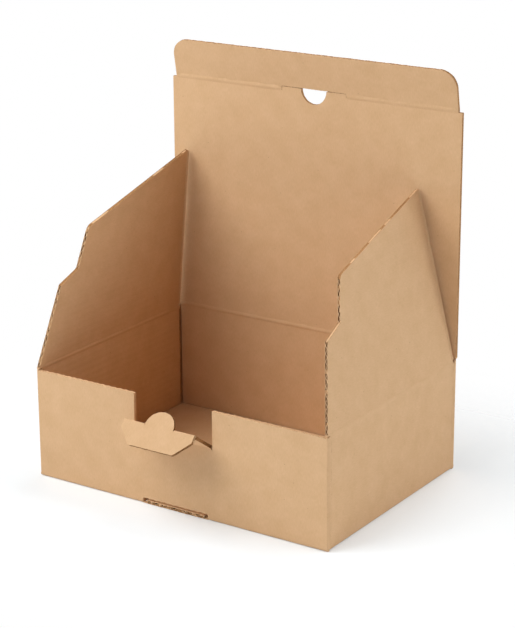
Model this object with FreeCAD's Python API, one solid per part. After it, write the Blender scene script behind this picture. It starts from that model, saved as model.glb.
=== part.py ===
import FreeCAD, Part
import math
import os

# A corrugated mailer box standing open: a tray folded from one blank, with its lid upright on
# the back wall, a tuck flap on the lid, a stepped wing on each side wall and a two-part lock tab
# folded out of the notch in the front wall.
# X runs along the front wall, Y from the front wall to the back wall, Z up from the table.

# The board: two liners with a wave of fluting between them.
board = 3.0
liner = 0.4
flutePitch = 6.4
fluteWall = 0.5
fluteDepth = 1.3
half = board / 2.0

# The tray, measured outside. The back wall is higher by the two wings that fold in under the lid.
trayWide = 310.0
trayDeep = 222.0
frontHigh = 103.0
foldRadius = 2.2
scoreWide = 1.0
scoreDeep = 0.5
seamWide = 0.4
seamDeep = 0.9
cornerGap = 0.8
cornerDeep = 1.3

# A crease is a round nose of half the board that turns just above the edge of the next panel.
creaseGap = 0.15
shoulder = 1.4
wingRest = 0.3
wingAxis = frontHigh + wingRest + half
wallHigh = wingAxis - half - creaseGap
backRise = 4.2
lidAxis = wingAxis + backRise

# The wings: crease length and the heights and setbacks of the cut steps.
wingRear = 217.0
wingRearTop = 215.5
wingTop = 162.5
wingSteps = [(27.0, 73.0, 3.0), (51.0, 82.5, 3.0), (64.5, 120.0, 9.0)]
leftLean = 5.4
rightLean = 13.9

# The lid and its tuck flap, with the slit and the half-round thumb hole at their crease.
lidOver = 1.0
lidLong = 228.0
slitWide = 69.0
slitRise = 2.0
slitGap = 0.9
holeRadius = 13.6
lidCutShift = 2.5
flapInset = 4.0
flapHigh = 36.4
flapCorner = 16.0
flapTilt = 10.4

# The notch in the front wall and the lock tab that is hinged on its lower edge.
notchWide = 83.4
frontCutShift = -3.5
tabAxis = 68.5
tabClear = 0.8
tabLong = 26.1
tabEndWide = 75.0
tabLean = 52.7
tipLong = 21.1
tipStraight = 6.8
tipEndWide = 47.0
tipTurn = 85.9
nibRadius = 15.0
nibClear = 0.6

# The slot at the front fold, with the cut edge of the base showing in it.
slotWide = 70.0
slotHigh = 4.8
slotShift = -2.5
slotRecess = 0.5
slotEnd = 3.4

vec = FreeCAD.Vector
xAxis = vec(1, 0, 0)
yAxis = vec(0, 1, 0)
zAxis = vec(0, 0, 1)
origin = vec(0, 0, 0)


def slab(low, high):
    size = high - low
    return Part.makeBox(size.x, size.y, size.z, low)


def outlineFace(corners, place):
    """A flat face from (u, v, radius) corners; place turns u and v into a point."""
    count = len(corners)
    starts = []
    edges = []
    for index in range(count):
        u, v, radius = corners[index]
        here = vec(u, v, 0)
        before = vec(corners[index - 1][0], corners[index - 1][1], 0) - here
        after = vec(corners[(index + 1) % count][0], corners[(index + 1) % count][1], 0) - here
        before.normalize()
        after.normalize()
        if radius <= 0:
            starts.append((here, None, here))
            continue
        angle = before.getAngle(after)
        reach = radius / math.tan(angle / 2.0)
        bisector = before + after
        bisector.normalize()
        centre = here + bisector * (radius / math.sin(angle / 2.0))
        starts.append((here + before * reach, centre - bisector * radius, here + after * reach))
    for index in range(count):
        first, middle, last = starts[index]
        following = starts[(index + 1) % count][0]
        if middle is not None:
            arc = Part.Arc(place(first.x, first.y), place(middle.x, middle.y), place(last.x, last.y))
            edges.append(arc.toShape())
        edges.append(Part.makeLine(place(last.x, last.y), place(following.x, following.y)))
    return Part.Face(Part.Wire(edges))


def panel(corners):
    """A board panel standing on the X axis, u along X and v along Z, centred on Y = 0."""
    return outlineFace(corners, lambda u, v: vec(u, -half, v)).extrude(vec(0, board, 0))


def roundEdge(shape, chosen):
    """The shape with the shoulder radius on each edge whose bounding box is the chosen one."""
    edges = [edge for edge in shape.Edges if chosen(edge.BoundBox)]
    return shape.makeFillet(shoulder, edges)


def nose(low, high):
    """The rounded lower edge of a panel at its crease, on the X axis from low to high."""
    arc = Part.Arc(vec(low, -half, 0), vec(low, 0, -half), vec(low, half, 0)).toShape()
    line = Part.makeLine(vec(low, half, 0), vec(low, -half, 0))
    return Part.Face(Part.Wire([arc, line])).extrude(vec(high - low, 0, 0))


def flutePocket(mouth, along, across, inward, depth, side):
    """One open flute end: a tapered pocket with its wide side against one liner."""
    wide = flutePitch / 2.0 - fluteWall
    narrow = 0.45
    top = half - liner
    points = [
        mouth - along * wide + across * (side * top),
        mouth + along * wide + across * (side * top),
        mouth + along * narrow - across * (side * (top - fluteWall)),
        mouth - along * narrow - across * (side * (top - fluteWall)),
    ]
    return Part.Face(Part.makePolygon(points + [points[0]])).extrude(inward * depth)


def fluteRow(start, end, across, inward, depth=fluteDepth):
    """The flute ends along a straight cut edge square to the flutes, as a list of pockets."""
    along = end - start
    length = along.Length
    along.normalize()
    step = flutePitch / 2.0
    count = int((length - 2.0) / step) - 1
    first = (length - (count - 1) * step) / 2.0
    lead = inward * (-0.3)
    pockets = []
    for index in range(count):
        mouth = start + along * (first + index * step) + lead
        pockets.append(flutePocket(mouth, along, across, inward, depth + 0.3, 1 if index % 2 else -1))
    return pockets


def openFlutes(shape, pockets):
    return shape.cut(Part.makeCompound(pockets))


def merged(shapes):
    joined = shapes[0].fuse(shapes[1:]) if len(shapes) > 1 else shapes[0]
    return joined.removeSplitter()


def trayBody():
    wide = trayWide / 2.0
    blank = slab(vec(-wide, 0, 0), vec(wide, trayDeep, frontHigh + 10))
    lowEdges = [edge for edge in blank.Edges if edge.BoundBox.ZMax < 0.01]
    blank = blank.makeFillet(foldRadius, lowEdges)
    backTop = lidAxis - half - creaseGap
    cuts = [
        slab(vec(-wide + board, board, board), vec(wide - board, trayDeep - board, 200)),
        slab(vec(-wide - 1, -1, frontHigh), vec(wide + 1, board, 200)),
        slab(vec(-wide - 1, board, wallHigh), vec(wide + 1, trayDeep - board, 200)),
        slab(vec(-wide - 1, trayDeep - board, backTop), vec(wide + 1, trayDeep + 1, 200)),
    ]
    # The back wall's outer top edge is rounded where the board bends when the lid turns back.
    return roundEdge(blank.cut(cuts), lambda box: box.ZMin > backTop - 0.01 and box.YMin > trayDeep - 0.01)


def scoreGrooves():
    """The pressed score lines along the inside of the base, one by each wall."""
    wide = trayWide / 2.0 - board
    low = board - scoreDeep
    grooves = []
    for y in (board, trayDeep - board - scoreWide):
        grooves.append(slab(vec(-wide, y, low), vec(wide, y + scoreWide, board + 1)))
    for x in (-wide, wide - scoreWide):
        grooves.append(slab(vec(x, board, low), vec(x + scoreWide, trayDeep - board, board + 1)))
    return grooves


def cornerSeams():
    """Each side wall meets the front and back walls in a seam outside and a gap inside."""
    wide = trayWide / 2.0
    seams = []
    for side in (-1, 1):
        outside = sorted((side * (wide - seamDeep), side * (wide + 1)))
        inside = sorted((side * (wide - board - 1), side * (wide - board + cornerDeep)))
        for y, toward in ((board, 1), (trayDeep - board, -1)):
            seam = sorted((y, y + toward * seamWide))
            gap = sorted((y, y + toward * cornerGap))
            seams.append(slab(vec(outside[0], seam[0], foldRadius), vec(outside[1], seam[1], 200)))
            seams.append(slab(vec(inside[0], gap[0], board), vec(inside[1], gap[1], 200)))
    return seams


def notchCut():
    """The notch in the front wall, down to the crease of the lock tab."""
    low = tabAxis - half - creaseGap
    side = notchWide / 2.0
    return slab(vec(frontCutShift - side, -1, low), vec(frontCutShift + side, board + 1, 200))


def slotCut():
    """The slot along the front fold, less the tongue of the base that sits in it."""
    side = slotWide / 2.0
    opening = slab(vec(slotShift - side, -1, -1), vec(slotShift + side, board, slotHigh))
    reach = side - slotEnd
    tongue = slab(vec(slotShift - reach, slotRecess, -2), vec(slotShift + reach, board + 1, board))
    return opening.cut(tongue)


def makeTray():
    wide = trayWide / 2.0
    tray = trayBody().cut(scoreGrooves() + cornerSeams() + [notchCut(), slotCut()])
    left = frontCutShift - notchWide / 2.0
    right = frontCutShift + notchWide / 2.0
    down = zAxis * -1
    pockets = fluteRow(vec(-wide, half, frontHigh), vec(left, half, frontHigh), yAxis, down)
    pockets += fluteRow(vec(right, half, frontHigh), vec(wide, half, frontHigh), yAxis, down)
    reach = slotWide / 2.0 - slotEnd
    lip = vec(slotShift, slotRecess, half)
    pockets += fluteRow(lip - xAxis * reach, lip + xAxis * reach, zAxis, yAxis)
    return openFlutes(tray, pockets)


def wingChain():
    """The cut edge of a wing from the front of its crease to its peak, as (setback, height)."""
    return [(0.0, 0.0)] + [(step[0], step[1]) for step in wingSteps] + [(wingRearTop, wingTop)]


def wingPockets():
    """Flute ends on the front, top and rear edges; the flutes run along the crease."""
    pockets = []
    step = flutePitch / 2.0
    reach = step - fluteWall
    chain = wingChain()
    number = 0
    height = reach + 0.8
    while height < wingTop - reach:
        side = 1 if number % 2 else -1
        for index in range(len(chain) - 1):
            near, far = chain[index], chain[index + 1]
            if height - reach < near[1] + 0.3 or height + reach > far[1] - 0.3:
                continue
            if abs(height - wingSteps[2][1]) < reach + 6.0:
                continue
            slope = (far[0] - near[0]) / (far[1] - near[1])
            low = near[0] + slope * (height - reach - near[1])
            high = near[0] + slope * (height + reach - near[1])
            mouth = vec(low - 0.3, 0, height)
            depth = high - low + 0.3 + fluteDepth
            pockets.append(flutePocket(mouth, zAxis, yAxis, xAxis, depth, side))
        rear = wingRear + (wingRearTop - wingRear) * height / wingTop
        if height < wingTop - 8.0:
            mouth = vec(rear + 0.4, 0, height)
            pockets.append(flutePocket(mouth, zAxis, yAxis, xAxis * -1, fluteDepth + 0.4, side))
        height += step
        number += 1
    return pockets


def makeWing(side):
    """A side wing, built along X from its front end, then turned to stand on its side wall."""
    corners = [(0.0, 0.0, 0), (wingRear, 0.0, 0), (wingRearTop, wingTop, 0)]
    corners += [(step[0], step[1], step[2]) for step in reversed(wingSteps)]
    wing = openFlutes(merged([panel(corners), nose(0.0, wingRear)]), wingPockets())
    wing.rotate(origin, zAxis, 90)
    wing.rotate(origin, yAxis, leftLean if side < 0 else -rightLean)
    wing.translate(vec(side * (trayWide / 2.0 - half), creaseGap, wingAxis))
    return wing


def makeLid():
    wide = trayWide / 2.0 + lidOver
    top = lidLong - half - creaseGap
    left = lidCutShift - slitWide / 2.0
    right = lidCutShift + slitWide / 2.0
    tongue = lidLong + slitRise
    corners = [
        (-wide, 0.0, 0), (wide, 0.0, 0), (wide, top, 0), (right, top, 0),
        (right, tongue, 0), (left, tongue, 0), (left, top, 0), (-wide, top, 0),
    ]
    lid = merged([panel(corners), nose(-wide, wide)])
    hole = Part.makeCylinder(holeRadius, board + 2, vec(lidCutShift, -half - 1, tongue), yAxis)
    lid = lid.cut(hole)
    lid.translate(vec(0, trayDeep - half, lidAxis))
    return lid


def makeTuckFlap():
    wide = trayWide / 2.0 + lidOver - flapInset
    left = lidCutShift - slitWide / 2.0 - 0.5
    right = lidCutShift + slitWide / 2.0 + 0.5
    rise = slitRise + slitGap
    corners = [
        (-wide, 0.0, 0), (left, 0.0, 0), (left, rise, 0), (right, rise, 0), (right, 0.0, 0),
        (wide, 0.0, 0), (wide, flapHigh, flapCorner), (-wide, flapHigh, flapCorner),
    ]
    flap = merged([panel(corners), nose(-wide, left), nose(right, wide)])
    straight = wide - flapCorner
    edge = vec(0, 0, flapHigh)
    flap = openFlutes(flap, fluteRow(edge - xAxis * straight, edge + xAxis * straight, yAxis, zAxis * -1))
    flap.rotate(origin, xAxis, flapTilt)
    flap.translate(vec(0, trayDeep - half, lidAxis + lidLong))
    return flap


def makeLockTab():
    wide = notchWide / 2.0 - tabClear
    end = tabEndWide / 2.0
    top = tabLong - half - creaseGap
    leaf = panel([(-wide, 0.0, 0), (wide, 0.0, 0), (end, top, 0), (-end, top, 0)])
    leaf = roundEdge(leaf, lambda box: box.ZMin > top - 0.01 and box.YMax < 0.01 - half)
    tab = merged([leaf, nose(-wide, wide)])
    relief = Part.makeCylinder(nibRadius + nibClear, board + 2, vec(0, -half - 1, tabLong), yAxis)
    tab = tab.cut(relief)
    tab.rotate(origin, xAxis, tabLean)
    tab.translate(vec(frontCutShift, half, tabAxis))
    return tab


def makeLockTip():
    """The outer half of the lock tab, with the half-round nib on the far side of its crease."""
    wide = tabEndWide / 2.0
    end = tipEndWide / 2.0
    corners = [
        (-wide, 0.0, 0), (wide, 0.0, 0), (wide, tipStraight, 2.0),
        (end, tipLong, 2.0), (-end, tipLong, 2.0), (-wide, tipStraight, 2.0),
    ]
    disc = Part.makeCylinder(nibRadius, board, vec(0, -half, 0), yAxis)
    nib = disc.common(slab(vec(-20, -5, -20), vec(20, 5, 0)))
    parts = [panel(corners), nib, nose(-wide, -nibRadius - nibClear), nose(nibRadius + nibClear, wide)]
    tip = merged(parts)
    edge = vec(0, 0, tipLong)
    reach = end - 2.0
    tip = openFlutes(tip, fluteRow(edge - xAxis * reach, edge + xAxis * reach, yAxis, zAxis * -1))
    tip.rotate(origin, xAxis, tabLean + tipTurn)
    lean = math.radians(tabLean)
    fold = vec(frontCutShift, half - tabLong * math.sin(lean), tabAxis + tabLong * math.cos(lean))
    tip.translate(fold)
    return tip


os.makedirs("parts", exist_ok=True)
nodes = {
    "tray": makeTray(),
    "wing_left": makeWing(-1),
    "wing_right": makeWing(1),
    "lid": makeLid(),
    "tuck_flap": makeTuckFlap(),
    "lock_tab": makeLockTab(),
    "lock_tip": makeLockTip(),
}
# The origin lies on the table under the middle of the base.
for name, shape in nodes.items():
    shape.translate(vec(0, -trayDeep / 2.0, 0))
    shape.exportStep("parts/" + name + ".step")
    print(name, shape.isValid(), len(shape.Solids), round(shape.Volume / 1000.0, 2), "cm3")
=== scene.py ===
import bpy
import bmesh
import math
import random
from mathutils import Matrix, Vector


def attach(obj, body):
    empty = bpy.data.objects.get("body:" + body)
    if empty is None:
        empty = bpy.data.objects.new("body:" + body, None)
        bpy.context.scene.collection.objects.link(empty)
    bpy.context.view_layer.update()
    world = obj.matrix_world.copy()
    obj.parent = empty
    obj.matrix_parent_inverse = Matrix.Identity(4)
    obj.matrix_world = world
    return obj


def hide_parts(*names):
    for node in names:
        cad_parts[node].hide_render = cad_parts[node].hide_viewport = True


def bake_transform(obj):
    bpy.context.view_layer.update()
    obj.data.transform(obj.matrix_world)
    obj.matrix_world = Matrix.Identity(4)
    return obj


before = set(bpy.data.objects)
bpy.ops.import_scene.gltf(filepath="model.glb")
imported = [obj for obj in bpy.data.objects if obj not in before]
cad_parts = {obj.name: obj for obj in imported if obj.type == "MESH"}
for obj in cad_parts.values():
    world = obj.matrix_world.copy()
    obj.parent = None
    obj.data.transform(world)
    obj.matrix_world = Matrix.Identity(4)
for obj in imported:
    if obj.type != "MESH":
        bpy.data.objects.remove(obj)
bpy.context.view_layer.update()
scene = bpy.context.scene
mm = 0.001

# the corrugated board, in mm: two liners and a wave of fluting paper
board = {
    "half": 1.5,
    "liner": 0.38,
    "paper": 0.62,        # thicker than real fluting, so that it still shows at this distance
    "pitch": 6.4,
    "stepsPerWave": 6,
    "wash": 0.035,        # the liners sink this much between the flute tips
    "rowGap": 26.0,
    "recess": 0.15,       # the fluting stops this far inside the liners' cut edge
    "bump": 0.42,         # unevenness of a cut edge
    "bumpsPerMm": 0.45,
    "rippleShare": 0.3,   # how much of that follows the flutes
    "crushed": 0.5,       # the core stops this far inside a steep cut edge
    "steepShut": 0.2,     # more flutes are pressed shut on a steep edge
    "shutShare": 0.12,    # what is left of the pocket there
    "stretch": 3.0,       # a pocket gets at most this much longer on a slope
    "creaseReach": 0.6,
    "shoulderLiner": 1.35,    # the worn shoulder beside a crease, in the liner and in the core
    "shoulderCore": 0.55,
    "layerGap": 0.02,
    "fluteGap": 0.03,
    "uvSize": 100.0,      # one unit of the material's pattern
    "sharpEdge": 35.0,
}
wave = 2 * math.pi / board["pitch"]


def linearColor(code):
    parts = [int(code[i:i + 2], 16) / 255 for i in (0, 2, 4)]
    return [c / 12.92 if c <= 0.04045 else ((c + 0.055) / 1.055) ** 2.4 for c in parts] + [1.0]


def addNode(tree, kind, settings=None, links=None):
    node = tree.nodes.new(kind)
    for key, value in (settings or {}).items():
        if isinstance(key, int) or key in node.inputs:
            node.inputs[key].default_value = value
        else:
            setattr(node, key, value)
    for key, source in (links or {}).items():
        tree.links.new(source, node.inputs[key])
    return node


# materials
print("materials")


def kraftLiner():
    # brown unbleached liner: soft matt brown, cloudy, with short fibres and a few dark specks
    settings = {"pale": "DBB38A", "deep": "CFA67B", "speck": "85592F", "roughness": 0.8}
    material = bpy.data.materials.new("kraft liner")
    material.use_nodes = True
    tree = material.node_tree
    tree.nodes.clear()
    place = addNode(tree, "ShaderNodeTexCoord").outputs["UV"]      # 1 unit is 100 mm of board
    grain = addNode(tree, "ShaderNodeMapping", {"Scale": (34.0, 9.0, 1.0)}, {"Vector": place})
    fibre = addNode(tree, "ShaderNodeTexNoise", {"Scale": 3.0, "Detail": 4.0, "Roughness": 0.62},
                    {"Vector": grain.outputs[0]})      # about 1 mm by 4 mm, coarser than real fibre
    cloud = addNode(tree, "ShaderNodeTexNoise", {"Scale": 5.5, "Detail": 5.0, "Roughness": 0.55},
                    {"Vector": place})
    clouds = addNode(tree, "ShaderNodeMath", {"operation": "MULTIPLY", 1: 0.45}, {0: cloud.outputs[0]})
    both = addNode(tree, "ShaderNodeMath", {"operation": "MULTIPLY_ADD", 1: 0.55},
                   {0: fibre.outputs[0], 2: clouds.outputs[0]})
    tone = addNode(tree, "ShaderNodeValToRGB", None, {0: both.outputs[0]})
    tone.color_ramp.elements[0].position = 0.33
    tone.color_ramp.elements[0].color = linearColor(settings["deep"])
    tone.color_ramp.elements[1].position = 0.67
    tone.color_ramp.elements[1].color = linearColor(settings["pale"])
    spots = addNode(tree, "ShaderNodeTexVoronoi", {"Scale": 9.0, "Randomness": 1.0}, {"Vector": place})
    spotMask = addNode(tree, "ShaderNodeMapRange", {1: 0.022, 2: 0.045, 3: 0.55, 4: 0.0},
                       {0: spots.outputs["Distance"]})
    spotted = addNode(tree, "ShaderNodeMix", {"data_type": "RGBA", 7: linearColor(settings["speck"])},
                      {0: spotMask.outputs[0], 6: tone.outputs[0]})
    bump = addNode(tree, "ShaderNodeBump", {"Strength": 0.12, "Distance": 0.0002}, {"Height": fibre.outputs[0]})
    shader = addNode(tree, "ShaderNodeBsdfPrincipled",
                     {"Roughness": settings["roughness"], "IOR": 1.45, "Specular IOR Level": 0.22},
                     {"Base Color": spotted.outputs[2], "Normal": bump.outputs[0]})
    addNode(tree, "ShaderNodeOutputMaterial", None, {0: shader.outputs[0]})
    return material


def rawFlutingPaintedShade():
    # uncoated fluting paper and torn fibres of the cut edges: darker and rougher than the liner, the darkness
    # partly the paper's own and partly painted shade for open flutes, cut edges and corner gaps
    settings = {"pale": "B98B5E", "deep": "90643B", "roughness": 0.95}
    material = bpy.data.materials.new("raw fluting paper darkened for painted shade")
    material.use_nodes = True
    tree = material.node_tree
    tree.nodes.clear()
    place = addNode(tree, "ShaderNodeTexCoord").outputs["Object"]
    fibre = addNode(tree, "ShaderNodeTexNoise", {"Scale": 900.0, "Detail": 3.0},
                    {"Vector": place})      # about 1 mm, coarser than real fibre
    tone = addNode(tree, "ShaderNodeValToRGB", None, {0: fibre.outputs[0]})
    tone.color_ramp.elements[0].position = 0.35
    tone.color_ramp.elements[0].color = linearColor(settings["deep"])
    tone.color_ramp.elements[1].position = 0.65
    tone.color_ramp.elements[1].color = linearColor(settings["pale"])
    bump = addNode(tree, "ShaderNodeBump", {"Strength": 0.3, "Distance": 0.0003}, {"Height": fibre.outputs[0]})
    shader = addNode(tree, "ShaderNodeBsdfPrincipled",
                     {"Roughness": settings["roughness"], "IOR": 1.45, "Specular IOR Level": 0.2},
                     {"Base Color": tone.outputs[0], "Normal": bump.outputs[0]})
    addNode(tree, "ShaderNodeOutputMaterial", None, {0: shader.outputs[0]})
    return material


linerMaterial = kraftLiner()
flutingPaintedShadeMaterial = rawFlutingPaintedShade()
# index 1 is the fluting paper whose darker colour paints shade
linerIndex, paintedShadeFlutingIndex = 0, 1


# mesh code: a sheet collects faces as corner points with a place on the board
def newSheet(seed):
    return {"faces": [], "random": random.Random(seed), "offset": (seed * 1.37 % 7.0, seed * 2.91 % 5.0)}


def addFace(sheet, points, spots, material):
    sheet["faces"].append((points, spots, material))


def roundCorners(corners):
    points = []
    for index, (u, v, radius) in enumerate(corners):
        here = Vector((u, v))
        if radius <= 0:
            points.append((u, v))
            continue
        before = (Vector(corners[index - 1][:2]) - here).normalized()
        after = (Vector(corners[(index + 1) % len(corners)][:2]) - here).normalized()
        angle = before.angle(after)
        centre = here + (before + after).normalized() * radius / math.sin(angle / 2)
        first = here + before * radius / math.tan(angle / 2) - centre
        last = here + after * radius / math.tan(angle / 2) - centre
        sweep = first.angle_signed(last)
        count = max(3, int(abs(sweep) * radius / 0.9))
        for step in range(count + 1):
            turned = Matrix.Rotation(-sweep * step / count, 2) @ first
            points.append((centre.x + turned.x, centre.y + turned.y))
    return points


def boardColumns(loops):
    # cuts the outline into thin columns across the flutes: (u0, u1, low0, low1, high0, high1)
    edges = []
    stops = set()
    for loop in loops:
        for index in range(len(loop)):
            a, b = loop[index - 1], loop[index]
            stops.add(round(b[0], 4))
            if abs(a[0] - b[0]) > 1e-4:
                edges.append((a, b) if a[0] < b[0] else (b, a))
    low, high = min(stops), max(stops)
    step = board["pitch"] / board["stepsPerWave"]
    grid = [round(k * step, 4) for k in range(math.ceil(low / step), math.floor(high / step) + 1)]
    stops = sorted(stops | {g for g in grid if min(abs(g - s) for s in stops) > 0.2})
    columns = []
    for u0, u1 in zip(stops, stops[1:]):
        middle = (u0 + u1) / 2
        cross = []
        for a, b in edges:
            if a[0] - 1e-4 <= u0 and b[0] + 1e-4 >= u1:
                slope = (b[1] - a[1]) / (b[0] - a[0])
                cross.append([a[1] + slope * (x - a[0]) for x in (middle, u0, u1)])
        cross.sort()
        for lower, upper in zip(cross[::2], cross[1::2]):
            columns.append((u0, u1, lower[1], lower[2], upper[1], upper[2]))
    return columns


def chain(low, high):
    gap = board["rowGap"]
    rows = range(math.ceil((low + 1) / gap), math.floor((high - 1) / gap) + 1)
    return [low] + [k * gap for k in rows] + [high]


def addLayer(sheet, columns, place, upper, lower, upperMaterial, lowerMaterial, endMaterial):
    # one closed layer of paper between the heights upper(u, v) and lower(u, v)
    def corner(u, v, height):
        return place(u, v, height(u, v))

    for u0, u1, a0, a1, b0, b1 in columns:
        for height, material in ((upper, upperMaterial), (lower, lowerMaterial)):
            left, right = chain(a0, b0), chain(a1, b1)
            i = j = 0
            while i < len(left) - 1 or j < len(right) - 1:
                spots = [(u0, left[i]), (u1, right[j])]
                nextLeft = left[i + 1] if i < len(left) - 1 else 1e9
                nextRight = right[j + 1] if j < len(right) - 1 else 1e9
                together = abs(nextLeft - nextRight) < 1e-3 or (i == len(left) - 2 and j == len(right) - 2)
                if together or nextRight < nextLeft:
                    j += 1
                    spots.append((u1, right[j]))
                if together or nextLeft <= nextRight:
                    i += 1
                    spots.append((u0, left[i]))
                addFace(sheet, [corner(u, v, height) for u, v in spots], spots, material)
        for v0, v1 in ((a0, a1), (b0, b1)):
            spots = [(u0, v0), (u1, v1), (u1, v1), (u0, v0)]
            heights = (upper, upper, lower, lower)
            material = endMaterial(u0, abs(v1 - v0) / (u1 - u0))
            addFace(sheet, [corner(u, v, h) for (u, v), h in zip(spots, heights)], spots, material)
    # sides, where a column has no neighbour
    sides = {}
    for u0, u1, a0, a1, b0, b1 in columns:
        sides.setdefault(round(u0, 4), [[], []])[1].append((a0, b0))
        sides.setdefault(round(u1, 4), [[], []])[0].append((a1, b1))
    for u, (before, after) in sides.items():
        stops = sorted({v for pair in before + after for v in pair})
        for v0, v1 in zip(stops, stops[1:]):
            middle = (v0 + v1) / 2
            solid = [any(a < middle < b for a, b in group) for group in (before, after)]
            if solid[0] == solid[1] or v1 - v0 < 0.01:
                continue
            for low, high in zip(chain(v0, v1), chain(v0, v1)[1:]):
                spots = [(u, low), (u, high), (u, high), (u, low)]
                heights = (upper, upper, lower, lower)
                points = [corner(a, b, h) for (a, b), h in zip(spots, heights)]
                addFace(sheet, points, spots, endMaterial(u, 1e9))


def addBoard(sheet, loops, place, creases=(), pocket=2.0, openEdge=0.35, closed=0.0, endMaterial=0,
             scallop=0.0, shoulder=0):
    # a panel of real board: liner, fluting and liner, cut to the same outline; pocket is how deep the
    # cut flutes are open, openEdge the slope up to which they are, and shoulder the worn side (1 or -1)
    half, liner, wash = board["half"], board["liner"], board["wash"]
    rng = sheet["random"]
    phase = rng.random() * 6.28
    noiseCount, noiseWrap, noiseStart, saltStep = 997, 900, 500, 31.7
    shutStart, sideSlope, shortest, farthest = 400, 50, 0.05, 1.5
    noise = [rng.uniform(0, 1) for _ in range(noiseCount)]
    columns = boardColumns(loops)

    def atCrease(v):
        return any(abs(v - crease) < board["creaseReach"] for crease in creases)

    def uneven(u, v, salt):
        if atCrease(v):
            return 0.0
        spot = (u * board["bumpsPerMm"] + salt * saltStep + noiseStart) % noiseWrap
        k = int(spot)
        smooth = noise[k] + (noise[k + 1] - noise[k]) * (spot - k)
        share = board["rippleShare"]
        ripples = (1 - share) * smooth + share * (1 + math.cos(2 * wave * u + salt)) / 2
        return board["bump"] * ripples + scallop * (1 + math.cos(wave * u + phase)) / 2

    def cut(salt, inset, worn=0.0):
        # the columns with their ends moved in by inset(steepness of the edge, place across the flutes),
        # and at the last crease by worn
        changed = []
        for u0, u1, a0, a1, b0, b1 in columns:
            steepA, steepB = abs(a1 - a0) / (u1 - u0), abs(b1 - b0) / (u1 - u0)
            inA = 0.0 if atCrease(a0) else inset(steepA, u0)
            inB = 0.0 if atCrease(b0) else inset(steepB, u0)
            if worn:
                inB = max(inB, max(b0, b1) - creases[-1] + worn)
            ends = (a0 + inA + uneven(u0, a0, salt), a1 + inA + uneven(u1, a1, salt),
                    b0 - inB - uneven(u0, b0, salt + 1), b1 - inB - uneven(u1, b1, salt + 1))
            if ends[2] - ends[0] > shortest and ends[3] - ends[1] > shortest:
                changed.append((u0, u1, *ends))
        return changed

    def isShut(u, steep):
        # flutes that the die has pressed shut
        chance = closed + (board["steepShut"] if steep >= openEdge else 0.0)
        return noise[int((u + shutStart) / board["pitch"] * 2) % noiseCount] < chance

    # open pockets are closed by a shallow fill of the darkened fluting, painted shade of the deep flute; shut
    # flutes end on liner
    def fillEnd(u, steep):
        return linerIndex if pocket < 0 or (steep >= openEdge and isShut(u, steep)) else paintedShadeFlutingIndex

    # slanted cut edges end on the darkened fluting, painted shade of their open flutes
    def cutEnd(u, steep):
        return paintedShadeFlutingIndex if openEdge <= steep < sideSlope else endMaterial

    def ripple(u):
        return wash * (math.cos(wave * u + phase) - 1)

    def flute(u):
        return (half - liner - board["paper"] / 2 - board["fluteGap"]) * math.cos(wave * u + phase)

    def crushed(steep, u):
        if steep >= openEdge:
            return board["crushed"]
        share = board["shutShare"] if isShut(u, steep) else 1.0
        return pocket * min(board["stretch"], math.hypot(1, steep)) * share

    paper = board["paper"] / 2
    core = half - liner
    inner = core - board["layerGap"]

    def flush(steep, u):
        return 0.0

    upperColumns = cut(1, flush, board["shoulderLiner"] * (shoulder > 0))
    lowerColumns = cut(4, flush, board["shoulderLiner"] * (shoulder < 0))
    coreColumns = cut(2, crushed, board["shoulderCore"] * abs(shoulder))
    addLayer(sheet, upperColumns, place, lambda u, v: half + ripple(u),
             lambda u, v: inner, linerIndex, paintedShadeFlutingIndex, cutEnd)
    addLayer(sheet, lowerColumns, place, lambda u, v: -inner,
             lambda u, v: -half + wash * (math.cos(wave * u + phase) + 1), paintedShadeFlutingIndex, linerIndex, cutEnd)
    addLayer(sheet, coreColumns, place, lambda u, v: core,
             lambda u, v: -core, paintedShadeFlutingIndex, paintedShadeFlutingIndex, fillEnd)
    # the ends of the fluting paper in the open pockets
    ends = []
    overlap, leftOver, leastWay = 0.1, 0.3, 0.4
    for full, plain in zip(cut(2, lambda steep, u: board["recess"]), columns):
        u0, u1, a0, a1, b0, b1 = plain
        for near, raw, rise in ((2, a0, a1 - a0), (4, b0, b1 - b0)):
            if atCrease(raw) or abs(rise) / (u1 - u0) >= openEdge or abs(full[near] - raw) > farthest:
                continue
            deep = pocket * min(board["stretch"], math.hypot(1, rise / (u1 - u0))) + overlap
            way = min(deep, min(b0, b1) - max(a0, a1) - leftOver) * (1 if near == 2 else -1)
            if abs(way) < leastWay:
                continue
            edgePair, deepPair = full[near:near + 2], (raw + way, raw + rise + way)
            pairs = (*edgePair, *deepPair) if near == 2 else (*deepPair, *edgePair)
            ends.append((full[0], full[1], *pairs))
    addLayer(sheet, ends, place, lambda u, v: flute(u) + paper,
             lambda u, v: flute(u) - paper, paintedShadeFlutingIndex, paintedShadeFlutingIndex, cutEnd)


def addBar(sheet, profile, place, low, high, material=0, pieces=1):
    # a closed profile of (p, q) points drawn out from low to high
    length = 0.0
    lengths = [0.0]
    for index in range(len(profile)):
        a, b = profile[index], profile[(index + 1) % len(profile)]
        length += math.hypot(b[0] - a[0], b[1] - a[1])
        lengths.append(length)
    stops = [low + (high - low) * k / pieces for k in range(pieces + 1)]
    for s0, s1 in zip(stops, stops[1:]):
        for index in range(len(profile)):
            a, b = profile[index], profile[(index + 1) % len(profile)]
            points = [place(s0, *a), place(s1, *a), place(s1, *b), place(s0, *b)]
            near, far = lengths[index], lengths[index + 1]
            spots = [(s0, near), (s1, near), (s1, far), (s0, far)]
            addFace(sheet, points, spots, material)
    for s in (low, high):
        addFace(sheet, [place(s, *p) for p in profile], [(s + p[0], p[1]) for p in profile], material)


def arc(centreP, centreQ, radius, start, end, count):
    angles = [math.radians(start + (end - start) * k / count) for k in range(count + 1)]
    return [(centreP + radius * math.cos(a), centreQ + radius * math.sin(a)) for a in angles]


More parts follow.
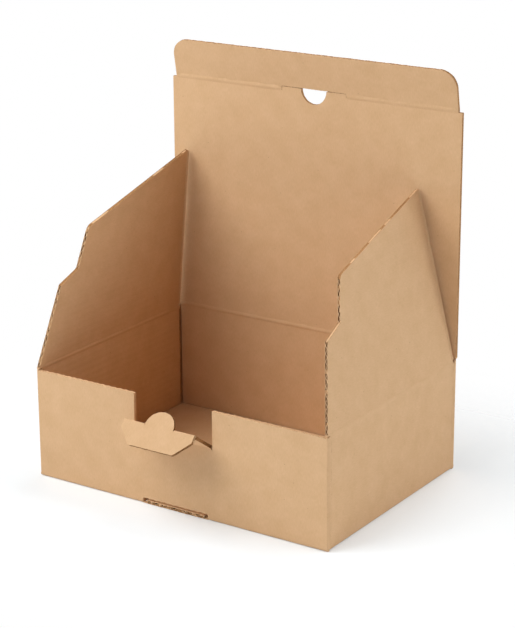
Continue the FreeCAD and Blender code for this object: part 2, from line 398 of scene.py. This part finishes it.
def finishPiece(sheet, name):
    mesh = bpy.data.meshes.new(name)
    points, faces = [], []
    for corners, _, _ in sheet["faces"]:
        faces.append(list(range(len(points), len(points) + len(corners))))
        points += [tuple(c * mm for c in corner) for corner in corners]
    mesh.from_pydata(points, [], faces)
    layer = mesh.uv_layers.new(name="board")
    du, dv = sheet["offset"]
    flat = []
    for _, spots, _ in sheet["faces"]:
        for u, v in spots:
            flat += [u / board["uvSize"] + du, v / board["uvSize"] + dv]
    layer.data.foreach_set("uv", flat)
    for material in (linerMaterial, flutingPaintedShadeMaterial):
        mesh.materials.append(material)
    mesh.polygons.foreach_set("material_index", [f[2] for f in sheet["faces"]])
    work = bmesh.new()
    work.from_mesh(mesh)
    bmesh.ops.remove_doubles(work, verts=work.verts, dist=1e-6)
    bmesh.ops.dissolve_degenerate(work, edges=work.edges, dist=1e-7)
    bmesh.ops.recalc_face_normals(work, faces=work.faces)
    work.to_mesh(mesh)
    work.free()
    mesh.polygons.foreach_set("use_smooth", [True] * len(mesh.polygons))
    mesh.set_sharp_from_angle(angle=math.radians(board["sharpEdge"]))
    piece = bpy.data.objects.new(name, mesh)
    scene.collection.objects.link(piece)
    print(" ", name, len(mesh.polygons), "faces")
    return piece


def panelPlace(origin, uAxis, vAxis, tAxis):
    def place(u, v, t):
        return tuple(origin[k] + uAxis[k] * u + vAxis[k] * v + tAxis[k] * t for k in range(3))
    return place


def leanVectors(degrees):
    # along a panel that leans back from upright, and out of its inner face
    a = math.radians(degrees)
    return (0, -math.sin(a), math.cos(a)), (0, -math.cos(a), -math.sin(a))


def leanPlace(origin, degrees):
    return panelPlace(origin, (1, 0, 0), *leanVectors(degrees))


def dress(piece, body, node):
    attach(piece, body)
    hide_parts(node)


# the tray
print("tray")
tray = {
    "wide": 155.0,
    "deep": 111.0,
    "high": 103.0,
    "sideHigh": 103.15,
    "backHigh": 107.35,
    "fold": 2.2,
    "seam": 0.3,
    "innerGap": 2.6,      # the side walls stop this far before the front and back walls
    "corner": 3.4,        # the back wall's inside stops this far from the outside of the side wall
    "tuck": 4.0,          # the base stops this far inside the tray's outline
    "setBack": 12.0,      # and here beside the tongue
    "slotSlack": 1.0,
    "topEdge": (-0.08, 0.6),      # the front wall's top edge is flush and scalloped
    "worn": 1.4,
    "tornSteps": 42,
    "tornChance": 0.3,
    "rawChance": 0.65,
    "notch": (-45.2, 38.2, 66.85),
    "slot": (-37.5, 32.5, 4.8),
    "tongue": (-34.1, 29.1, -110.5),
}


def makeTray():
    wide, deep, fold, tuck = tray["wide"], tray["deep"], tray["fold"], tray["tuck"]
    edge = wide - board["half"]
    sheet = newSheet(3)
    n0, n1, nz = tray["notch"]
    s0, s1, sz = tray["slot"]
    t0, t1, ty = tray["tongue"]
    outer, setBack, slack = tuck - deep, tray["setBack"] - deep, tray["slotSlack"]
    base = [(tuck - wide, outer), (s0 - slack, outer), (s0 - slack, setBack), (t0, setBack), (t0, ty),
            (t1, ty), (t1, setBack), (s1 + slack, setBack), (s1 + slack, outer), (wide - tuck, outer),
            (wide - tuck, deep - tuck), (tuck - wide, deep - tuck)]
    addBoard(sheet, [base], panelPlace((0, 0, 1.5), (1, 0, 0), (0, 1, 0), (0, 0, 1)), (), 4.0)
    front = [(-edge, 3), (s0, 3), (s0, sz), (s1, sz), (s1, 3), (edge, 3), (edge, tray["high"]),
             (n1, tray["high"]), (n1, nz), (n0, nz), (n0, tray["high"]), (-edge, tray["high"])]
    flushPocket, scallop = tray["topEdge"]
    frontPlace = panelPlace((0, 1.5 - deep, 0), (1, 0, 0), (0, 0, 1), (0, -1, 0))
    addBoard(sheet, [front], frontPlace, (3.0, nz), flushPocket, scallop=scallop)
    inner = wide - tray["corner"]
    back = [(-inner, 3), (inner, 3), (inner, tray["backHigh"]), (-inner, tray["backHigh"])]
    backPlace = panelPlace((0, deep - 1.5, 0), (1, 0, 0), (0, 0, 1), (0, -1, 0))
    addBoard(sheet, [back], backPlace, (3.0, tray["backHigh"]), shoulder=-1)
    reach = deep - 3 - tray["innerGap"]
    for side in (-1, 1):
        wall = [(3, -reach), (tray["sideHigh"], -reach), (tray["sideHigh"], reach), (3, reach)]
        sidePlace = panelPlace((side * edge, 0, 0), (0, 0, 1), (0, 1, 0), (side, 0, 0))
        # the side walls' cut ends are in the darkened fluting, painted shade along the inner corners
        addBoard(sheet, [wall], sidePlace, endMaterial=paintedShadeFlutingIndex)
    addTornTongue(sheet, t0, t1, ty)
    for low, high in ((s0, t0), (t1, s1)):      # the liner that runs on below the slot's ends
        under = [(0.5, 0.05), (3.5, 0.05), (3.5, 0.6), (0.5, 0.9)]
        addBar(sheet, under, lambda s, p, q: (s, p - deep, q), low, high, linerIndex)
    # folded lower edges, with the pressed score line inside
    section = [(0, 3), (0, fold)] + arc(fold, fold, fold, 180, 270, 8) + [(4, 0), (4, 1.5), (3, 1.5), (3, 3)]
    for low, high in ((-wide, s0), (s1, wide)):
        addBar(sheet, section, lambda s, p, q: (s, p - deep, q), low, high, linerIndex, 12)
    addBar(sheet, section, lambda s, p, q: (s, deep - p, q), -wide, wide, linerIndex, 12)
    for side in (-1, 1):
        addBar(sheet, section, lambda s, p, q: (side * (wide - p), s, q), 3 - deep, deep - 3, linerIndex, 12)
    addCorners(sheet)
    return finishPiece(sheet, "tray_board")


def addTornTongue(sheet, left, right, front):
    # the crushed and torn edge of the base in the slot
    rng = random.Random(5)
    count = tray["tornSteps"]
    stops = [left + 0.2 + (right - left - 0.4) * k / count for k in range(count + 1)]
    rough = [[(-0.35 * rng.random(), 0.2 * rng.random()) for _ in range(5)] for _ in stops]
    levels = (0.15, 0.9, 1.8, 2.7, 3.45)
    for k in range(count):
        x0, x1 = stops[k], stops[k + 1]
        ring = []
        for x, jitter in ((x0, rough[k]), (x1, rough[k + 1])):
            ring.append([(x, front - 0.05 + dy, z + dz * (z > 0.5)) for (dy, dz), z in zip(jitter, levels)])
        for i in range(4):
            if i in (1, 2) and rng.random() < tray["tornChance"]:
                continue      # torn open, so that the dark flutes show
            paper = paintedShadeFlutingIndex if i in (0, 1, 2) and rng.random() < tray["rawChance"] else linerIndex
            addFace(sheet, [ring[0][i], ring[1][i], ring[1][i + 1], ring[0][i + 1]],
                    [(x0, i), (x1, i), (x1, i + 1), (x0, i + 1)], paper)
        lip = [ring[0][4], ring[1][4], (x1, front + 1.4, 3.0), (x0, front + 1.4, 3.0)]
        addFace(sheet, lip, [(x0, 4), (x1, 4), (x1, 5), (x0, 5)], linerIndex)


def addCorners(sheet):
    # the outer edge of each corner, and the paper that closes its seam
    wide, deep = tray["wide"], tray["deep"]
    end = 3.05 + tray["innerGap"]
    strip = [(0.5, 2.9), (1.1, 2.9), (1.1, end), (0, end), (0, 3 + tray["seam"]), (0.5, 3 + tray["seam"])]
    # a strip of the darkened fluting behind the inner gap, painted shade of the gap
    gapShadeLining = [(1.1, 3), (1.3, 3), (1.3, end), (1.1, end)]
    for side in (-1, 1):
        for way, top in ((-1, tray["high"]), (1, tray["backHigh"] - tray["worn"])):
            def place(s, p, q):
                return (side * (wide - p), way * (deep - q), s)

            post = [(1.5, 0), (1.5, 3), (0, 3)] + arc(0.7, 0.7, 0.7, 180, 270, 4)
            if way > 0:      # at the back the corner is open to the inside, a dark line
                post = [(tray["corner"], 0), (tray["corner"], 0.5), (1.5, 0.5)] + post[1:]
            addBar(sheet, post, place, 3, top, linerIndex, 8)
            addBar(sheet, strip, place, 3, tray["sideHigh"], linerIndex, 1)
            addBar(sheet, gapShadeLining, place, 3, tray["sideHigh"], paintedShadeFlutingIndex, 1)


dress(makeTray(), "tray", "tray")


# the wings
print("wings")
wing = {
    "axis": (153.5, 104.8),
    "front": -110.85,
    "rear": 216.2,
    "rearTop": 215.2,
    "top": 162.5,
    "steps": [(73.0, 27.0, 3.0), (82.5, 51.0, 3.0), (120.0, 64.5, 9.0)],
    "bruise": [(-2.5, -0.1), (-0.5, 1.1), (-0.3, -0.1)],
    "leftLean": 5.4,
    "rightLean": 13.9,
}


def nose(sheet, place, low, high, pieces):
    profile = arc(0, 0, board["half"], 180, 360, 10)
    addBar(sheet, profile, place, low, high, linerIndex, pieces)


def makeWing(side):
    lean = math.radians(wing["leftLean"] if side < 0 else wing["rightLean"])
    x, z = wing["axis"]
    uAxis = (-side * math.sin(lean), 0, math.cos(lean))
    tAxis = (math.cos(lean), 0, side * math.sin(lean))
    place = panelPlace((side * x, wing["front"], z), uAxis, (0, 1, 0), tAxis)
    corners = [(0, 0, 0)] + wing["steps"] + [(wing["top"], wing["rearTop"], 0.8), (0, wing["rear"], 0)]
    sheet = newSheet(11 if side < 0 else 17)
    addBoard(sheet, [roundCorners(corners)], place, (), 2.6, 0.6, closed=0.35)
    nose(sheet, lambda s, p, q: place(q, s, p), 0, wing["rear"], 12)
    # the liner is bruised along the rear edge and stands up a little
    slope = (wing["rearTop"] - wing["rear"]) / wing["top"]
    addBar(sheet, wing["bruise"], lambda s, p, q: place(s, wing["rear"] + slope * s + p, board["half"] + q),
           3, wing["top"] - 1.5, linerIndex, 14)
    return finishPiece(sheet, "wing_left_board" if side < 0 else "wing_right_board")


dress(makeWing(-1), "wing_left", "wing_left")
dress(makeWing(1), "wing_right", "wing_right")


# the lid and its tuck flap
print("lid and tuck flap")
lid = {
    "axis": (109.5, 109.0),
    "wide": 156.0,
    "top": 226.35,
    "slit": (-32.0, 37.0),
    "tongue": 230.0,
    "hole": 13.6,
    "holeAt": 2.5,
}
flap = {
    "axis": (109.5, 337.0),
    "wide": 152.0,
    "rise": 2.45,
    "high": 36.4,
    "corner": 16.0,
    "tilt": 10.4,
    "slit": (-32.25, 37.25),
}


def makeLid():
    y, z = lid["axis"]
    left, right = lid["slit"]
    place = panelPlace((0, y, z), (1, 0, 0), (0, 0, 1), (0, -1, 0))
    hole = [(lid["holeAt"] + lid["hole"] * math.cos(a), lid["tongue"] - lid["hole"] * math.sin(a))
            for a in [math.pi * k / 30 for k in range(31)]]
    wide, top, tongue = lid["wide"], lid["top"], lid["tongue"]
    outline = [(-wide, 0), (wide, 0), (wide, top), (right, top), (right, tongue)]
    outline += hole + [(left, tongue), (left, top), (-wide, top)]
    sheet = newSheet(23)
    addBoard(sheet, [outline], place, (0.0, top), endMaterial=paintedShadeFlutingIndex)
    nose(sheet, lambda s, p, q: place(s, q, p), -wide, wide, 12)
    return finishPiece(sheet, "lid_board")


def makeFlap():
    y, z = flap["axis"]
    left, right = flap["slit"]
    place = leanPlace((0, y, z), flap["tilt"])
    wide, rise, high, corner = flap["wide"], flap["rise"], flap["high"], flap["corner"]
    corners = [(-wide, 0, 0), (left, 0, 0), (left, rise, 0), (right, rise, 0), (right, 0, 0), (wide, 0, 0),
               (wide, high, corner), (-wide, high, corner)]
    sheet = newSheet(29)
    addBoard(sheet, [roundCorners(corners)], place, (0.0,), 0.4)
    for start, end in ((-wide, left), (right, wide)):
        nose(sheet, lambda s, p, q: place(s, q, p), start, end, 6)
    return finishPiece(sheet, "tuck_flap_board")


dress(makeLid(), "lid", "lid")
dress(makeFlap(), "tuck_flap", "tuck_flap")


# the lock tab in the notch, folded in two
print("lock tab")
lock = {
    "at": -3.5,
    "axis": (-109.5, 68.5),
    "wide": 40.9,
    "endWide": 37.5,
    "long": 26.1,
    "gap": 1.65,
    "lean": 52.7,
    "turn": 85.9,
    "tipStraight": 6.8,
    "tipLong": 21.1,
    "tipCorner": 2.0,
    "tipWide": 23.5,
    "nib": 15.0,
    "nibClear": 0.6,
}


def tabFold():
    a = math.radians(lock["lean"])
    y, z = lock["axis"]
    return (lock["at"], y - lock["long"] * math.sin(a), z + lock["long"] * math.cos(a))


def makeLockTab():
    y, z = lock["axis"]
    place = leanPlace((lock["at"], y, z), lock["lean"])
    top = lock["long"] - lock["gap"]
    reach = lock["nib"] + lock["nibClear"]
    half = math.sqrt(reach ** 2 - lock["gap"] ** 2)
    start = math.atan2(-lock["gap"], half)
    relief = [(reach * math.cos(a), lock["long"] + reach * math.sin(a))
              for a in [start - (math.pi + 2 * start) * k / 24 for k in range(25)]]
    wide, endWide = lock["wide"], lock["endWide"]
    outline = [(-wide, 0), (wide, 0), (endWide, top)] + relief + [(-endWide, top)]
    sheet = newSheet(31)
    # the cut edges are in the darkened fluting, painted shade along the tab's edges
    addBoard(sheet, [outline], place, (0.0, top), 3.0, 9.0, 0.0, paintedShadeFlutingIndex, shoulder=1)
    nose(sheet, lambda s, p, q: place(s, q, p), -wide, wide, 4)
    return finishPiece(sheet, "lock_tab_board")


def makeLockTip():
    place = leanPlace(tabFold(), lock["lean"] + lock["turn"])
    w, e, r = lock["endWide"], lock["tipWide"], lock["nib"]
    straight, long, corner = lock["tipStraight"], lock["tipLong"], lock["tipCorner"]
    body = roundCorners([(-w, 0, 0), (-r, 0, 0), (r, 0, 0), (w, 0, 0), (w, straight, corner),
                         (e, long, corner), (-e, long, corner), (-w, straight, corner)])
    nibAngles = [math.pi * (1 - k / 28) for k in range(1, 28)]
    nib = [(r * math.cos(a), -r * math.sin(a)) for a in nibAngles]
    outline = []
    for point in body:
        outline.append(point)
        if abs(point[0] + r) < 1e-6 and abs(point[1]) < 1e-6:
            outline += nib
    sheet = newSheet(37)
    # the cut edges are in the darkened fluting, painted shade along the tip's lower edge
    addBoard(sheet, [outline], place, (0.0,), 3.0, 9.0, 0.25, paintedShadeFlutingIndex)
    reach = r + lock["nibClear"]
    for low, high in ((-w, -reach), (reach, w)):
        nose(sheet, lambda s, p, q: place(s, q, p), low, high, 4)
    return finishPiece(sheet, "lock_tip_board")


dress(makeLockTab(), "lock_tab", "lock_tab")
dress(makeLockTip(), "lock_tip", "lock_tip")


# the liner paper that runs on over each crease
print("creases")
creasePaper = {
    "below": 2.4,
    "above": 0.5,
    "thick": 0.25,
    "ridge": 0.5,
    "flapRidge": 0.6,
    "piece": 5.0,
    "shoulderBelow": 3.6,      # far enough to cover the back wall's worn shoulder
    "wingSpan": (-107.4, 106.0),
    "lidSpan": 154.5,
}


def creaseStrip(name, axis, along, lowV, highV, lowT, highT, side, low, high, seed, ridge,
                below=creasePaper["below"]):
    # lowV and highV run away from the crease axis along the two panels, lowT and highT are their face
    # normals, and below is how far the strip runs down the parent
    rng = random.Random(seed)
    half, thick = board["half"], creasePaper["thick"]
    axis, along = Vector(axis), Vector(along)
    lowV, highV, lowT, highT = Vector(lowV), Vector(highV), Vector(lowT) * side, Vector(highT) * side
    turn = lowT.angle(highT)
    spin = lowT.cross(highT)
    hollow = highV.dot(lowT) > 1e-4 and turn > math.radians(20)
    steps = max(2, int(math.degrees(turn) / 8))

    def profile(bulge):
        outer = [axis + lowT * half + lowV * below]
        if hollow:
            meet = axis + (lowT + highT).normalized() * half / math.cos(turn / 2)
            inset = (lowT + highT).normalized() * thick
            end = axis + highT * half + highV * creasePaper["above"]
            return outer + [meet, end, end - highT * thick, meet - inset, outer[0] - lowT * thick]
        outer.append(axis + lowT * (half + bulge * 0.9) + lowV * 0.9)
        for k in range(steps + 1):
            direction = lowT.copy()
            if spin.length > 1e-6:
                direction = Matrix.Rotation(turn * k / steps, 3, spin.normalized()) @ lowT
            outer.append(axis + direction * (half + bulge))
        outer.append(axis + highT * half + highV * (creasePaper["above"] + bulge * 3))
        inner = [axis + highT * (half - thick) + highV * creasePaper["above"]]
        inner.append(axis + highT * (half - thick))
        inner.append(axis + lowT * (half - thick))
        inner.append(axis + lowT * (half - thick) + lowV * below)
        return outer + inner

    sheet = newSheet(seed)
    count = max(2, int((high - low) / creasePaper["piece"]))
    rings = []
    for k in range(count + 1):
        s = low + (high - low) * k / count
        bulge = ridge * (0.7 + 0.6 * rng.random()) if 0 < k < count else 0.0
        rings.append((s, [tuple(p + along * s) for p in profile(bulge)]))
    for (s0, ring0), (s1, ring1) in zip(rings, rings[1:]):
        for i in range(len(ring0)):
            j = (i + 1) % len(ring0)
            addFace(sheet, [ring0[i], ring0[j], ring1[j], ring1[i]],
                    [(s0, i * 0.6), (s0, i * 0.6 + 0.6), (s1, i * 0.6 + 0.6), (s1, i * 0.6)], linerIndex)
    for s, ring in (rings[0], rings[-1]):
        addFace(sheet, ring, [(s, i * 0.6) for i in range(len(ring))], linerIndex)
    piece = finishPiece(sheet, name)
    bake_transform(piece)
    return piece


def makeCreases():
    up, down, across = (0, 0, 1), (0, 0, -1), (1, 0, 0)
    inward = (0, -1, 0)
    ridge = creasePaper["ridge"]
    x, z = wing["axis"]
    first, last = creasePaper["wingSpan"]
    for side, name, lean in ((-1, "wing_left", wing["leftLean"]), (1, "wing_right", wing["rightLean"])):
        a = math.radians(lean)
        highV = (-side * math.sin(a), 0, math.cos(a))
        highT = (math.cos(a), 0, side * math.sin(a))
        for face, label in ((1, "right"), (-1, "left")):
            inside = face != side
            creaseStrip(f"{name}_crease_{label}", (side * x, 0, z), (0, 1, 0),
                        down, highV, across, highT, face, first, last, 41 + side + 5 * face,
                        ridge if inside else 0.03)
    y, z = lid["axis"]
    reach = creasePaper["lidSpan"]
    for face, label in ((1, "inside"), (-1, "outside")):
        below = creasePaper["below"] if face > 0 else creasePaper["shoulderBelow"]
        creaseStrip(f"lid_crease_{label}", (0, y, z), across, down, up, inward, inward, face,
                    -reach, reach, 61 + face, ridge if face > 0 else 0.0, below)
    y, z = flap["axis"]
    highV, highT = leanVectors(flap["tilt"])
    left, right = flap["slit"]
    for face, label in ((1, "front"), (-1, "rear")):
        for low, high, part in ((-flap["wide"], left - 0.3, "a"), (right + 0.3, flap["wide"], "b")):
            creaseStrip(f"flap_crease_{label}_{part}", (0, y, z), across,
                        down, highV, inward, highT, face, low, high, 71 + face + len(part),
                        creasePaper["flapRidge"] if face > 0 else 0.0)
    y, z = lock["axis"]
    lowV, lowT = leanVectors(lock["lean"])
    reach = lock["wide"] - 0.3
    for label, face, seed in (("top", -1, 83), ("under", 1, 84)):
        creaseStrip("lock_tab_crease_" + label, (lock["at"], y, z), across,
                    down, lowV, inward, lowT, face, -reach, reach, seed, 0.0)
    highV, highT = leanVectors(lock["lean"] + lock["turn"])
    back = tuple(-c for c in lowV)
    reach = lock["nib"] + lock["nibClear"] + 0.2
    for low, high, part in ((-lock["endWide"], -reach, "a"), (reach, lock["endWide"], "b")):
        creaseStrip("lock_tip_crease_" + part, tabFold(), across,
                    back, highV, lowT, highT, -1, low, high, 89 + len(part), 0.0)


makeCreases()


# floor, lamps and camera
print("studio")
studio = {
    "floorSize": 9.0,
    "footprint": (0.155, 0.111, 0.0),
    "fade": (-0.10, 0.26),      # metres from the box
    "floorColor": "F9FDFF",
    "world": 0.004,
    "lampColor": (0.965, 0.985, 1.0),
    # name, azimuth and height in degrees, size, distance and height aimed at in metres, power in watts
    "lamps": [
        ("front left lamp", -50, 50, 1.9, 2.2, 0.15, 38.2),
        ("front low lamp", 0, 10, 1.2, 2.2, 0.15, 4.8),
        ("lid left lamp", -40, 35, 0.9, 1.2, 0.30, 4.3),
        ("lid top lamp", -5, 55, 0.9, 1.2, 0.30, 2.7),
        ("right lamp", 98, 22, 1.2, 2.2, 0.15, 3.4),
        ("right rear lamp", 112, 25, 1.2, 2.2, 0.15, 17.7),
        ("rear right lamp", 140, 30, 1.2, 2.2, 0.15, 3.9),
        ("rear high lamp", 170, 60, 1.2, 2.2, 0.15, 20.9),
    ],
}


def makeFloor():
    size = studio["floorSize"]
    mesh = bpy.data.meshes.new("studio floor")
    corners = [(-size, -size, 0), (size, -size, 0), (size, size, 0), (-size, size, 0)]
    mesh.from_pydata(corners, [], [(0, 1, 2, 3)])
    floor = bpy.data.objects.new("studio_floor", mesh)
    floor.location = (0, 0, -0.0002)
    scene.collection.objects.link(floor)
    # seamless paper that carries the soft shadow and runs out into plain white
    material = bpy.data.materials.new("white paper backdrop")
    material.use_nodes = True
    tree = material.node_tree
    tree.nodes.clear()
    place = addNode(tree, "ShaderNodeTexCoord").outputs["Object"]
    mirrored = addNode(tree, "ShaderNodeVectorMath", {"operation": "ABSOLUTE"}, {0: place})
    outside = addNode(tree, "ShaderNodeVectorMath", {"operation": "SUBTRACT", 1: studio["footprint"]},
                      {0: mirrored.outputs[0]})
    beyond = addNode(tree, "ShaderNodeVectorMath", {"operation": "MAXIMUM", 1: (0, 0, 0)},
                     {0: outside.outputs[0]})
    length = addNode(tree, "ShaderNodeVectorMath", {"operation": "LENGTH"}, {0: beyond.outputs[0]})
    nearTo, farTo = studio["fade"]
    fade = addNode(tree, "ShaderNodeMapRange",
                   {"interpolation_type": "SMOOTHSTEP", 1: nearTo, 2: farTo, 3: 0.0, 4: 1.0},
                   {0: length.outputs["Value"]})
    path = addNode(tree, "ShaderNodeLightPath")
    seen = addNode(tree, "ShaderNodeMath", {"operation": "MULTIPLY"},
                   {0: fade.outputs[0], 1: path.outputs["Is Camera Ray"]})
    paper = addNode(tree, "ShaderNodeBsdfDiffuse", {"Color": linearColor(studio["floorColor"])})
    clear = addNode(tree, "ShaderNodeBsdfTransparent")
    mixed = addNode(tree, "ShaderNodeMixShader", None,
                    {0: seen.outputs[0], 1: paper.outputs[0], 2: clear.outputs[0]})
    addNode(tree, "ShaderNodeOutputMaterial", None, {0: mixed.outputs[0]})
    mesh.materials.append(material)


def makeWorld():
    world = bpy.data.worlds.new("white studio")
    scene.world = world
    world.use_nodes = True
    tree = world.node_tree
    tree.nodes.clear()
    path = addNode(tree, "ShaderNodeLightPath")
    soft = addNode(tree, "ShaderNodeBackground", {"Color": (1.0, 1.0, 1.0, 1.0), "Strength": studio["world"]})
    white = addNode(tree, "ShaderNodeBackground", {"Color": (1.0, 1.0, 1.0, 1.0), "Strength": 1.0})
    seen = addNode(tree, "ShaderNodeMixShader", None,
                   {0: path.outputs["Is Camera Ray"], 1: soft.outputs[0], 2: white.outputs[0]})
    addNode(tree, "ShaderNodeOutputWorld", None, {0: seen.outputs[0]})


def makeLamps():
    for name, azimuth, height, size, reach, aimHeight, power in studio["lamps"]:
        a, e = math.radians(azimuth), math.radians(height)
        away = Vector((math.sin(a) * math.cos(e), -math.cos(a) * math.cos(e), math.sin(e)))
        data = bpy.data.lights.new(name, "AREA")
        data.shape = "SQUARE"
        data.size = size
        data.energy = power
        data.color = studio["lampColor"]
        lamp = bpy.data.objects.new(name, data)
        lamp.location = Vector((0, 0, aimHeight)) + away * reach
        lamp.rotation_mode = "QUATERNION"
        lamp.rotation_quaternion = (-away).to_track_quat("-Z", "Y")
        scene.collection.objects.link(lamp)


def makeCamera():
    # eye in metres, angles in radians and lens in mm, fitted to the corners of the tray in the photo
    settings = {
        "eye": (0.966443, -1.427437, 0.716620),
        "azimuth": 0.58955293,
        "elevation": 0.316087936,
        "roll": 0.0055633,
        "lens": 115.4237,
    }
    data = bpy.data.cameras.new("camera")
    data.sensor_width = 36.0
    data.lens = settings["lens"]
    data.clip_start, data.clip_end = 0.05, 60.0
    az, el, roll = settings["azimuth"], settings["elevation"], settings["roll"]
    back = Vector((math.sin(az) * math.cos(el), -math.cos(az) * math.cos(el), math.sin(el)))
    right = Vector((math.cos(az), math.sin(az), 0))
    up = back.cross(right)
    xAxis = right * math.cos(roll) - up * math.sin(roll)
    yAxis = right * math.sin(roll) + up * math.cos(roll)
    camera = bpy.data.objects.new("camera", data)
    turned = Matrix((xAxis, yAxis, back)).transposed().to_4x4()
    camera.matrix_world = Matrix.Translation(settings["eye"]) @ turned
    scene.collection.objects.link(camera)
    scene.camera = camera


makeFloor()
makeWorld()
makeLamps()
makeCamera()
scene.view_settings.view_transform = "Standard"

bpy.context.view_layer.update()
